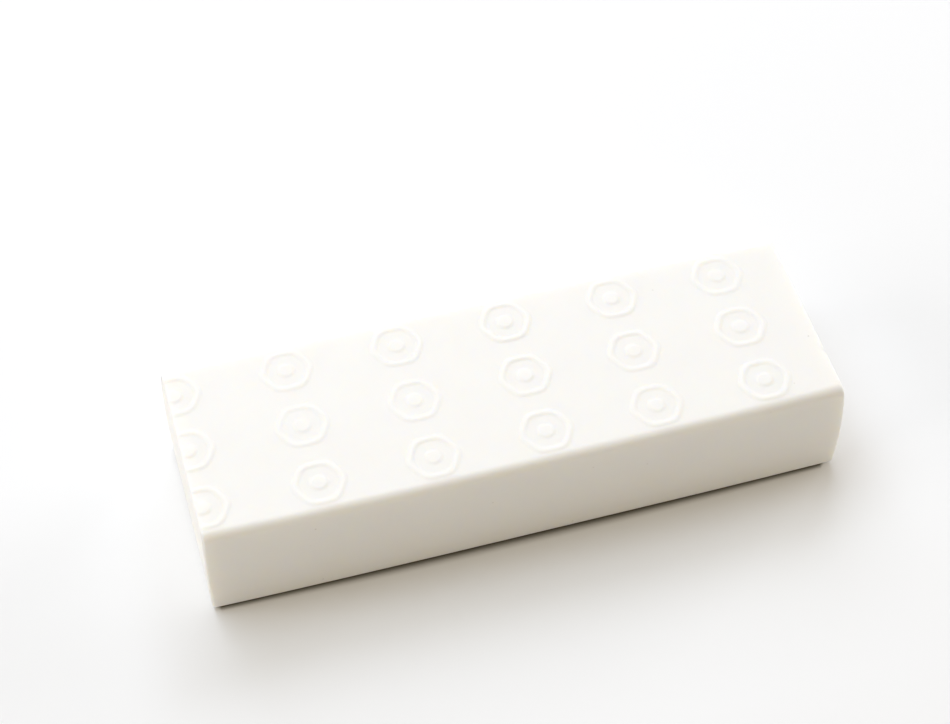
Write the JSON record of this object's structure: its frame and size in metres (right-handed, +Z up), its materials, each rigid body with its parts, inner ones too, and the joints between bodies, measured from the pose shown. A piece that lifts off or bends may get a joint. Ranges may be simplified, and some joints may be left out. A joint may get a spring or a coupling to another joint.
{
  "type": "vinyl eraser",
  "caption": "Oblong block of soft white vinyl for rubbing out pencil, with rounded long edges, slightly bulging cut ends and a top embossed with a grid of raised ring-and-dot marks.",
  "frame": {"origin": "middle of the base, on the surface that the block lies on", "axes": "+X along the block, +Y from its front long side to its back one, +Z up through the embossed top"},
  "size_m": [0.065, 0.0216, 0.0125],
  "materials": {
    "vinyl": "warm white soft vinyl, even and matt with a faint sheen, slightly translucent at its edges"
  },
  "bodies": {
    "root": {"eraser_block": "vinyl"}
  },
  "joints": []
}
